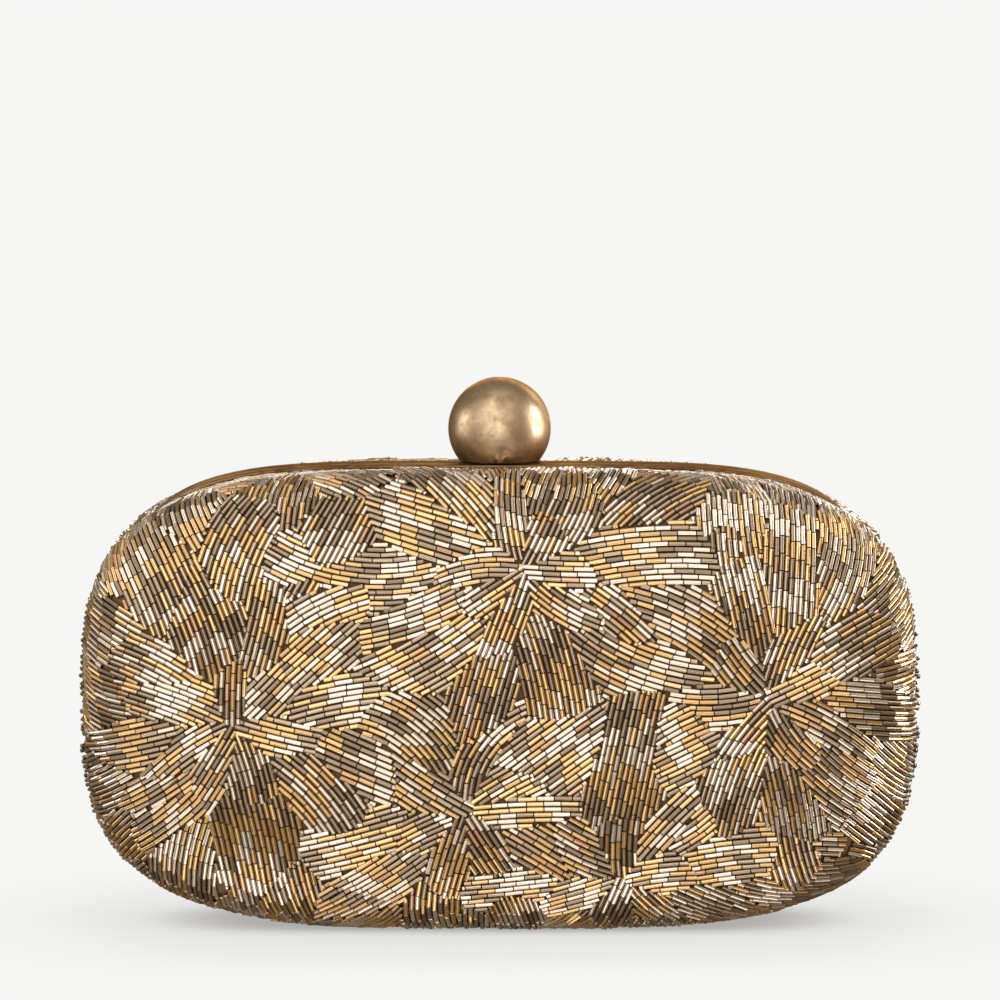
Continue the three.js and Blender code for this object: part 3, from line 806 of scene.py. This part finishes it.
def tubes(middle, axis, normal, half, radius):
    """Points as tube, ring, side: a short tube along each axis, with its ends a little narrower."""
    side = np.cross(axis, normal)
    along = np.stack([-half, -half + CHAMFER, half - CHAMFER, half], -1)
    radii = radius[:, None] * END_RADII
    angle = np.linspace(0, 2 * np.pi, SIDES, endpoint=False)
    spokes = side[:, None] * np.cos(angle)[:, None] + normal[:, None] * np.sin(angle)[:, None]
    lines = middle[:, None, None] + along[..., None, None] * axis[:, None, None]
    return lines + radii[..., None, None] * spokes[:, None]


def bead_points(ends, petals, index, share, seed):
    """Points as bead, ring, side: a tube round each bead's line, resting on the dome. Where the sheet is
    squeezed across the bead as it is laid on the dome, the bead is thinner by as much."""
    dice = np.random.default_rng(seed)
    middle = (ends[:, :2] + ends[:, 2:]) / 2
    surface, along_u, along_w = lay_with_slopes(middle[:, 0], middle[:, 1])
    first, second = lay(ends[:, 0], ends[:, 1]), lay(ends[:, 2], ends[:, 3])
    half = np.linalg.norm(second - first, axis=1) / 2
    axis, normal = unit(second - first), unit(np.cross(along_w, along_u))
    normal = unit(normal - np.sum(normal * axis, axis=1)[:, None] * axis)
    flat_axis = unit(ends[:, 2:] - ends[:, :2])
    squeeze = np.linalg.norm(-flat_axis[:, 1:] * along_u + flat_axis[:, :1] * along_w, axis=1)
    radius = 0.5 * THICKNESS * petals[index, ROW_PITCH] * np.clip(squeeze, LEAST_WIDTH, 1.0)
    radius = radius * dice.uniform(*WIDTH_CHANCE, len(half))
    lift = petals[index, LIFT] * np.clip(share, 0, 1) + dice.normal(0, LIFT_CHANCE, len(half))
    lift += RIM_LIFT * ease(RIM_START, RIM_END, find_station(middle[:, 0], middle[:, 1])[1])
    tilt = TILT + dice.normal(0, TILT_CHANCE, len(half))
    middle = (first + second) / 2 * 0.5 + surface * 0.5 - normal * (radius + SUNK - lift)[:, None]
    return tubes(middle, axis + normal * tilt[:, None], normal, half, radius)


def bead_faces(count):
    """Quads between the four rings of each bead, and each end as three quads."""
    one = grid_faces(4, SIDES)[:, ::-1]
    first, last = np.arange(SIDES), 3 * SIDES + np.arange(SIDES)[::-1]
    caps = [[ring[0], ring[i], ring[i + 1], ring[i + 2]] for ring in (first, last) for i in (1, 3, 5)]
    one = np.concatenate([one, caps])
    return (np.arange(count)[:, None, None] * 4 * SIDES + one).reshape(-1, 4)


def bead_mesh(name, points, material, dice):
    mesh = mesh_from(name, points.reshape(-1, 3), bead_faces(len(points)), 50)
    mark = np.zeros((len(points), 4, SIDES, 4), np.float32)
    mark[..., 0] = dice.random(len(points))[:, None, None]
    # the two end rings: the darker cut glass, together with painted shade in the joint between beads
    mark[:, [0, 3], :, 1] = 1
    # painted shade along each bead's flanks, where its neighbours and the cloth shade it
    mark[..., 2] = SIDE_PAINTED_SHADE
    mark[..., 3] = 1
    layer = mesh.attributes.new("bead", "FLOAT_COLOR", "POINT")
    layer.data.foreach_set("color", mark.ravel())
    mesh.materials.append(material)
    return mesh


# %% Bead finishes
# The dark colour that the ends and flanks go towards. On the flanks it is painted shade, and on the ends it
# is partly the darker cut glass and partly painted shade in the joints.
BEAD_DARK_AND_SHADE, END_CUT_AND_SHADE, FLANK_PAINTED_SHADE = (0.1, 0.048, 0.014), 0.75, 0.85
COATED = {"Metallic": 0.9, "Coat Weight": 0.9, "Coat Roughness": 0.08, "Coat IOR": 1.6}


def bead_finish(name, light, deep, roughness):
    """Metal seen through clear glass: a tinted lining under a glossy coat. It is darker at the cut ends,
    partly the cut glass and partly painted shade in the joints, and has painted shade along its flanks.
    """
    material, tree, shader = start_material(name)
    mark = node(tree, "ShaderNodeAttribute", attribute_name="bead").outputs["Color"]
    parts = node(tree, "ShaderNodeSeparateColor", {"Color": mark}).outputs
    colour = mixed(tree, parts["Red"], light, deep)
    # the ends: darker cut glass together with painted shade in the joints
    cut_end_and_shade = maths(tree, "MULTIPLY", parts["Green"], END_CUT_AND_SHADE)
    # painted shade on the flanks
    painted_flank_shade = maths(tree, "MULTIPLY", parts["Blue"], FLANK_PAINTED_SHADE)
    colour = mixed(tree, maths(tree, "MAXIMUM", cut_end_and_shade, painted_flank_shade), colour, BEAD_DARK_AND_SHADE)
    rough = spread(tree, parts["Red"], 0, 1, roughness - 0.04, roughness + 0.08)
    fill(tree, shader, COATED | {"Base Color": colour, "Roughness": rough})
    return material


FINISHES = {  # light and deep colour, roughness
    "pewter": ((0.46, 0.335, 0.215), (0.22, 0.142, 0.075), 0.22),
    "gold": ((0.84, 0.545, 0.235), (0.58, 0.34, 0.125), 0.2),
    "champagne": ((0.92, 0.78, 0.64), (0.78, 0.62, 0.46), 0.2),
    "copper": ((0.66, 0.38, 0.2), (0.4, 0.21, 0.095), 0.22),
}
FINISHES = {name: bead_finish(f"bead_{name}", *values) for name, values in FINISHES.items()}


def make_beads(half, petals, plan, seed):
    ends, index, share = plan
    points = bead_points(ends, petals, index, share, seed)
    points[..., 2] = np.maximum(points[..., 2], 0)
    points = to_half(points, half)
    if half == "front":
        points = points[:, :, (4 - np.arange(SIDES)) % SIDES]  # so that the faces still turn outwards
    finish = choose_finish(petals, index, share, seed)
    dice = np.random.default_rng(seed + 1)
    made = []
    for number, (name, material) in enumerate(FINISHES.items()):
        name = f"{half}_beads_{name}"
        mesh = bead_mesh(name, points[finish == number], material, dice)
        made.append(add_object(name, mesh, f"{half}_half", (f"{half}_cover",)))
    return made


beads = make_beads("front", front_petals, front_plan, 31) + make_beads("back", back_petals, back_plan, 37)
print("bead pieces:", {o.name: len(o.data.polygons) for o in beads})

# %% [markdown]
# ## The slip pocket
# A flat pocket is sewn to the back lining along its sides and bottom. It is a patch that follows the
# lining, with a doubled hem along its open top, where it stands off the lining a little. A row of stitches
# holds its edge.
# %% Pocket
POCKET_SIDE, POCKET_BOTTOM, POCKET_TOP, POCKET_LAYER = 44.0, 20.0, 66.0, 4.15
POCKET_CLOTH, HEM_HEIGHT, HEM_EDGE, HEM_CLOTH = 0.5, 6.0, 0.7, 0.4
POCKET_GAPE, GAPE_START = 1.2, 38.0
SEAM_INSET, SEAM_WIDTH, SEAM_DENT = 1.8, 0.6, 0.25
STITCH_LENGTH, STITCH_PITCH, STITCH_RADIUS, STITCH_SUNK = 1.8, 2.6, 0.2, 0.08


def face_depth(x, z, layer):
    """Depth of a layer's face over a point, found by closing in on the outline that goes through it."""
    low, high = np.zeros(x.shape), np.ones(x.shape)
    for _ in range(30):
        v = (low + high) / 2
        ring = dome_ring(v, layer)
        turn = np.arctan2((z - MID_Z) / np.where(z > MID_Z, ring[1], ring[2]), x / ring[0])
        edge = ring_point(ring, turn)
        inside = np.hypot(x, z - MID_Z) < np.hypot(edge[..., 0], edge[..., 2] - MID_Z)
        low, high = np.where(inside, low, v), np.where(inside, v, high)
    return dome_ring(low, layer)[5]


def pocket_depths(x, z):
    """Depths of the pocket's two sides. It follows the lining, gapes in the middle of its top, is thicker at
    the hem, and is pulled in along the seam, which runs a little inside its sides and bottom."""
    gape = POCKET_GAPE * np.cos(np.pi * x / (2 * POCKET_SIDE)) ** 2 * ease(GAPE_START, POCKET_TOP, z)
    under = face_depth(x, z, POCKET_LAYER) - gape
    hem = HEM_CLOTH * ease(POCKET_TOP - HEM_HEIGHT - HEM_EDGE, POCKET_TOP - HEM_HEIGHT, z)
    from_seam = np.minimum(POCKET_SIDE - np.abs(x), z - POCKET_BOTTOM) - SEAM_INSET
    dent = SEAM_DENT * np.exp(-((from_seam / SEAM_WIDTH) ** 2))
    return under, under - POCKET_CLOTH - hem + dent


def pocket_mesh(columns=133, rows=71):
    """Both sides of the pocket as one grid, closed on itself at the sides and by strips at top and bottom."""
    across, up = np.linspace(-POCKET_SIDE, POCKET_SIDE, columns), np.linspace(POCKET_BOTTOM, POCKET_TOP, rows)
    x, z = np.meshgrid(across, up)
    under, over = pocket_depths(x, z)
    points = np.concatenate([np.stack([x, under, z], -1), np.stack([x, over, z], -1)[:, ::-1]], axis=1)
    i = np.arange(columns - 1)
    strip = np.stack([i, i + 1, 2 * columns - 2 - i, 2 * columns - 1 - i], -1)
    faces = np.concatenate([grid_faces(rows, 2 * columns), strip, strip[:, ::-1] + (rows - 1) * 2 * columns])
    mesh = mesh_from("pocket_cloth", points.reshape(-1, 3), faces, 40)
    tidy(mesh)
    add_grid_uv(mesh)
    mesh.materials.append(SATIN)
    return mesh


def stitch_points():
    """One short thread for each stitch: down one side, along the bottom and up the other."""
    side, bottom, top = POCKET_SIDE - SEAM_INSET, POCKET_BOTTOM + SEAM_INSET, POCKET_TOP - 1
    corners = np.array([[-side, top], [-side, bottom], [side, bottom], [side, top]])
    reach = np.concatenate([[0], np.cumsum(np.linalg.norm(np.diff(corners, axis=0), axis=1))])
    middle = np.arange(STITCH_PITCH / 2, reach[-1], STITCH_PITCH)
    places = middle[:, None] + np.array([-0.5, 0.5]) * STITCH_LENGTH
    x, z = np.interp(places, reach, corners[:, 0]), np.interp(places, reach, corners[:, 1])
    ends = np.stack([x, pocket_depths(x, z)[1] - STITCH_SUNK, z], -1)
    half = np.linalg.norm(ends[:, 1] - ends[:, 0], axis=1) / 2
    axis = unit(ends[:, 1] - ends[:, 0])
    normal = unit(np.array([0.0, -1.0, 0.0]) + axis[:, 1:2] * axis)
    return tubes(ends.mean(axis=1), axis, normal, half, np.full(len(half), STITCH_RADIUS))


def thread_material():
    material, tree, shader = start_material("thread")
    fill(tree, shader, {"Base Color": (0.5, 0.35, 0.19), "Roughness": 0.55})
    return material


pocket = add_object("pocket_cloth", pocket_mesh(), "back_half", ("pocket_panel",))
stitches = stitch_points()
stitch_mesh = mesh_from("pocket_stitches", stitches.reshape(-1, 3), bead_faces(len(stitches)), 50)
stitch_mesh.materials.append(thread_material())
pocket_stitches = add_object("pocket_stitches", stitch_mesh, "back_half")
print("pocket faces:", len(pocket.data.polygons), "- stitches:", len(stitches))

# %% [markdown]
# ## Flat sizes of the cloths
# The flat size of each cover and lining is worked out and printed: the size that it was cut to. A dome's
# cloth is cut as the dome's outline unrolled from the middle of the face, so it is as wide and as tall as
# the curve over the dome, with the same squared-off oval edge.
def flat_cut(layer):
    """Width and height of the flat cut in metres, and its area: half the sum of the cross products of
    neighbouring points along its edge."""
    curve = ring_point(dome_ring(stations, layer), np.pi / 2)[:, 1:]
    out = np.linalg.norm(np.diff(curve, axis=0), axis=1).sum()
    edge = ring_point((FLAT_SIDE + out, out, out, TOP_POWER, BOTTOM_POWER, 0), TURN)
    x, z = edge[:, 0], edge[:, 2] - MID_Z
    area = 0.5 * abs(np.sum(x * np.roll(z, -1) - z * np.roll(x, -1)))
    return (2 * (FLAT_SIDE + out) * MM, 2 * out * MM), area * MM**2


for half, made in layers.items():
    for layer in ("cover", "lining"):
        flat, area = flat_cut(LAYERS[layer][0])
        print(made[layer].name, "cut flat:", np.round(flat, 4).tolist(), "m, area", round(area, 5))

# %% [markdown]
# ## The ball clasp
# A hollow brass ball, cut flat where it sits over the frame. It is a profile turned about the stem's line:
# the outside of the ball, a small rounded edge, and the inside again, so that the wall has a thickness.
# %% Ball
BALL_RADIUS, BALL_CENTRE, BALL_FLAT, BALL_WALL = 11.15, 107.3, 100.35, 1.0
BALL_EDGE, EDGE_POINTS = 0.3, ((-0.12, 0.08), (-0.35, 0.0))  # the edge's rounding


def turned_mesh(name, profile, sides):
    """A closed profile of (radius, height) points, turned about the stem's line."""
    radius, height = (column[:, None] for column in np.asarray(profile, float).T)
    angle = np.linspace(0, 2 * np.pi, sides, endpoint=False)
    x, y = radius * np.cos(angle), STEM_Y + radius * np.sin(angle)
    points = np.stack(np.broadcast_arrays(x, y, height), -1)
    mesh = mesh_from(name, points.reshape(-1, 3), grid_faces(len(radius), sides, close_rows=True), 60)
    tidy(mesh)
    return mesh


def ball_profile():
    drop = BALL_FLAT - BALL_CENTRE
    inner = BALL_RADIUS - BALL_WALL
    outer_end, inner_end = math.acos((drop + BALL_EDGE) / BALL_RADIUS), math.acos(drop / inner)
    out = np.linspace(0, outer_end, 64)
    back = np.linspace(inner_end, 0, 32)
    outside = np.stack([BALL_RADIUS * np.sin(out), BALL_CENTRE + BALL_RADIUS * np.cos(out)], -1)
    inside = np.stack([inner * np.sin(back), BALL_CENTRE + inner * np.cos(back)], -1)
    edge = [[outside[-1, 0] + inwards, BALL_FLAT + rise] for inwards, rise in EDGE_POINTS]
    return np.concatenate([outside, edge, inside])


ball_mesh = turned_mesh("clasp_ball_shell", ball_profile(), 128)
ball_mesh.materials.append(BALL_BRASS)
ball = add_object("clasp_ball_shell", ball_mesh, "clasp", ("clasp_ball",))
print("ball points:", len(ball_mesh.vertices))

# %% [markdown]
# ## The return spring
# A coil of wire between the sliding plate and the end of its bracket. The real one gets shorter as the clasp
# slides, and this coil is made at one length.
# %% Spring
SPRING_START, SPRING_END, SPRING_HEIGHT = 8.05, 19.1, 92.25
SPRING_RADIUS, WIRE_RADIUS, SPRING_TURNS = 0.95, 0.22, 7


def spring_mesh(steps=168, sides=10):
    """A wire round a helix. Its circle lies across the way that the helix runs, and shrinks to a point at
    both ends."""
    share = np.concatenate([[0], np.linspace(0, 1, steps + 1), [1]])[:, None]
    wire = np.full(share.shape, WIRE_RADIUS)
    wire[[0, -1]] = 0
    turn = 2 * np.pi * SPRING_TURNS * share
    length, round_ = SPRING_END - SPRING_START, 2 * np.pi * SPRING_TURNS * SPRING_RADIUS
    outwards = np.concatenate([0 * turn, np.cos(turn), np.sin(turn)], 1)
    onwards = np.concatenate([length + 0 * turn, -round_ * np.sin(turn), round_ * np.cos(turn)], 1)
    across = np.cross(onwards / math.hypot(length, round_), outwards)
    start = np.array([SPRING_START, STEM_Y, SPRING_HEIGHT])
    centre = start + share * [length, 0, 0] + outwards * SPRING_RADIUS
    angle = np.linspace(0, 2 * np.pi, sides, endpoint=False)[:, None]
    circle = outwards[:, None] * np.cos(angle) + across[:, None] * np.sin(angle)
    points = centre[:, None] + wire[:, None] * circle
    mesh = mesh_from("latch_spring_wire", points.reshape(-1, 3), grid_faces(len(share), sides), 60)
    tidy(mesh)
    mesh.materials.append(SPRING_STEEL)
    return mesh


spring = add_object("latch_spring_wire", spring_mesh(), "back_half", ("latch_spring",))
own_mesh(spring)
print("spring points:", len(spring.data.vertices))

# %% [markdown]
# ## Hardware kept from the CAD
# The hinge, the rivets and the latch are right as they come, so they only get their finishes.
# %% Finish the CAD nodes
CAD_FINISH = {"aged_brass": FRAME_BRASS, "ball_brass": BALL_BRASS, "latch_steel": LATCH_STEEL, "satin": SATIN}
slots = {row["node"]: row["material_slot"] for row in frame["record"]["subparts"]}


def finish_node(name, obj):
    material = CAD_FINISH.get(slots[name])
    if material is None or obj.hide_render:
        return None
    if not obj.material_slots:
        obj.data.materials.append(material)
    for slot in obj.material_slots:
        slot.material = material
    return name


finished = [finish_node(name, obj) for name, obj in frame["nodes"].items()]
print("finished:", len([name for name in finished if name]))
